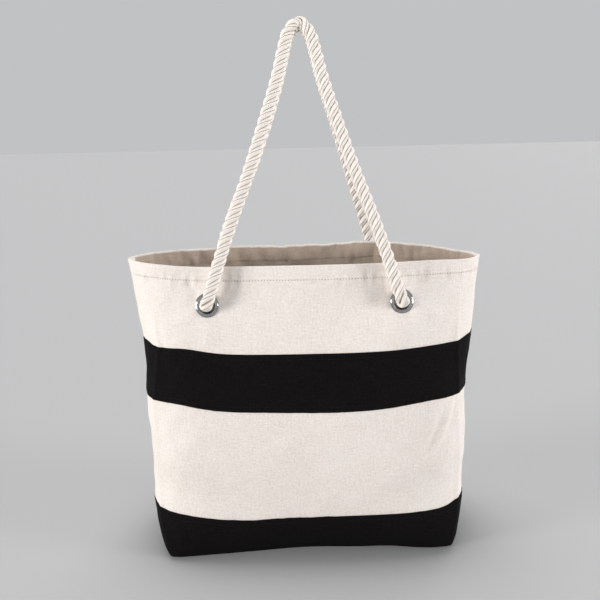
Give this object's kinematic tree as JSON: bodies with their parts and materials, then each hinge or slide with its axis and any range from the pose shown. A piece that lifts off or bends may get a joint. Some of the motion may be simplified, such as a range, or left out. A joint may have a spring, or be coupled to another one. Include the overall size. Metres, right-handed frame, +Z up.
{
  "type": "beach bag",
  "caption": "Striped canvas beach tote with a flat base, an open top, metal grommets and twisted rope handles that fold down outside.",
  "frame": {"origin": "middle of the bag's flat base, on the surface it stands on", "axes": "+X along the width to the bag's right as seen from the front, +Y from front to back, +Z up"},
  "size_m": [0.5, 0.251, 0.7435],
  "materials": {
    "cream_canvas": "natural cotton canvas, plain weave",
    "black_canvas": "black dyed cotton canvas, plain weave",
    "cotton_rope": "three-strand twisted cotton",
    "nickel": "polished nickel plate",
    "whipping_twine": "waxed cotton twine",
    "seam_tape": "cotton twill tape"
  },
  "bodies": {
    "bag": {"bottom_panel": "black_canvas", "front_top_panel": "cream_canvas", "front_upper_band": "black_canvas", "front_middle_panel": "cream_canvas", "front_base_band": "black_canvas", "front_hem": "cream_canvas", "front_left_grommet": "nickel", "front_left_grommet_washer": "nickel", "front_left_knot": "cotton_rope", "front_left_whipping": "whipping_twine", "front_right_grommet": "nickel", "front_right_grommet_washer": "nickel", "front_right_knot": "cotton_rope", "front_right_whipping": "whipping_twine", "back_top_panel": "cream_canvas", "back_upper_band": "black_canvas", "back_middle_panel": "cream_canvas", "back_base_band": "black_canvas", "back_hem": "cream_canvas", "back_left_grommet": "nickel", "back_left_grommet_washer": "nickel", "back_left_knot": "cotton_rope", "back_left_whipping": "whipping_twine", "back_right_grommet": "nickel", "back_right_grommet_washer": "nickel", "back_right_knot": "cotton_rope", "back_right_whipping": "whipping_twine", "left_seam_binding": "seam_tape", "right_seam_binding": "seam_tape"},
    "front_handle": {"front_handle_rope": "cotton_rope"},
    "back_handle": {"back_handle_rope": "cotton_rope"}
  },
  "joints": [
    {"name": "front_handle_swing", "type": "hinge", "parent": "bag", "child": "front_handle", "pos_m": [0, -0.10422, 0.3685], "axis": [1, 0, 0], "range_deg": [0, 170]},
    {"name": "back_handle_swing", "type": "hinge", "parent": "bag", "child": "back_handle", "pos_m": [0, 0.10422, 0.3685], "axis": [-1, 0, 0], "range_deg": [0, 170]}
  ]
}
